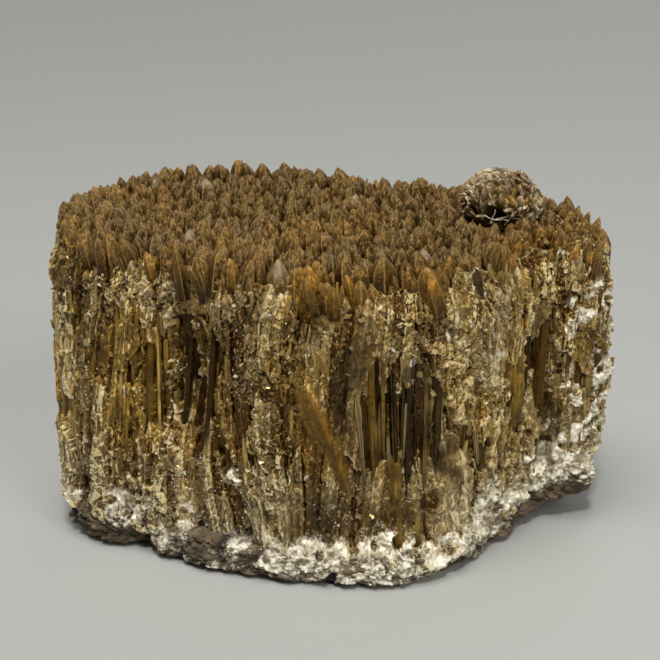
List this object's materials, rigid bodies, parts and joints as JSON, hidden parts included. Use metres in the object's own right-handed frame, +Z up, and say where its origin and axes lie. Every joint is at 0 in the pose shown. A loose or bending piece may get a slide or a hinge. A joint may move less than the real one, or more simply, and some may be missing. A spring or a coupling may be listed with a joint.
{
  "type": "honey calcite crystal cluster",
  "caption": "Free-standing block of intergrown honey-coloured calcite columns on a thin rock crust, with a carpet of dogtooth points on top and a knob of small crystals.",
  "frame": {"origin": "on the ground below the middle of the block's bounding box", "axes": "+Z up, +X along the length towards the end with the knob and the raised underside, +Y towards the back, so the broken front with the large hollows faces -Y"},
  "size_m": [0.1779, 0.1386, 0.109],
  "materials": {
    "honey_calcite": "translucent brown-honey crystal, frosted on the points and glassy in the breaks",
    "host_rock": "rough matt brown-grey rock",
    "white_crust": "powdery white calcite crust"
  },
  "bodies": {
    "root": {"honey_crystals": "honey_calcite", "matrix_crust": "host_rock"}
  },
  "joints": []
}
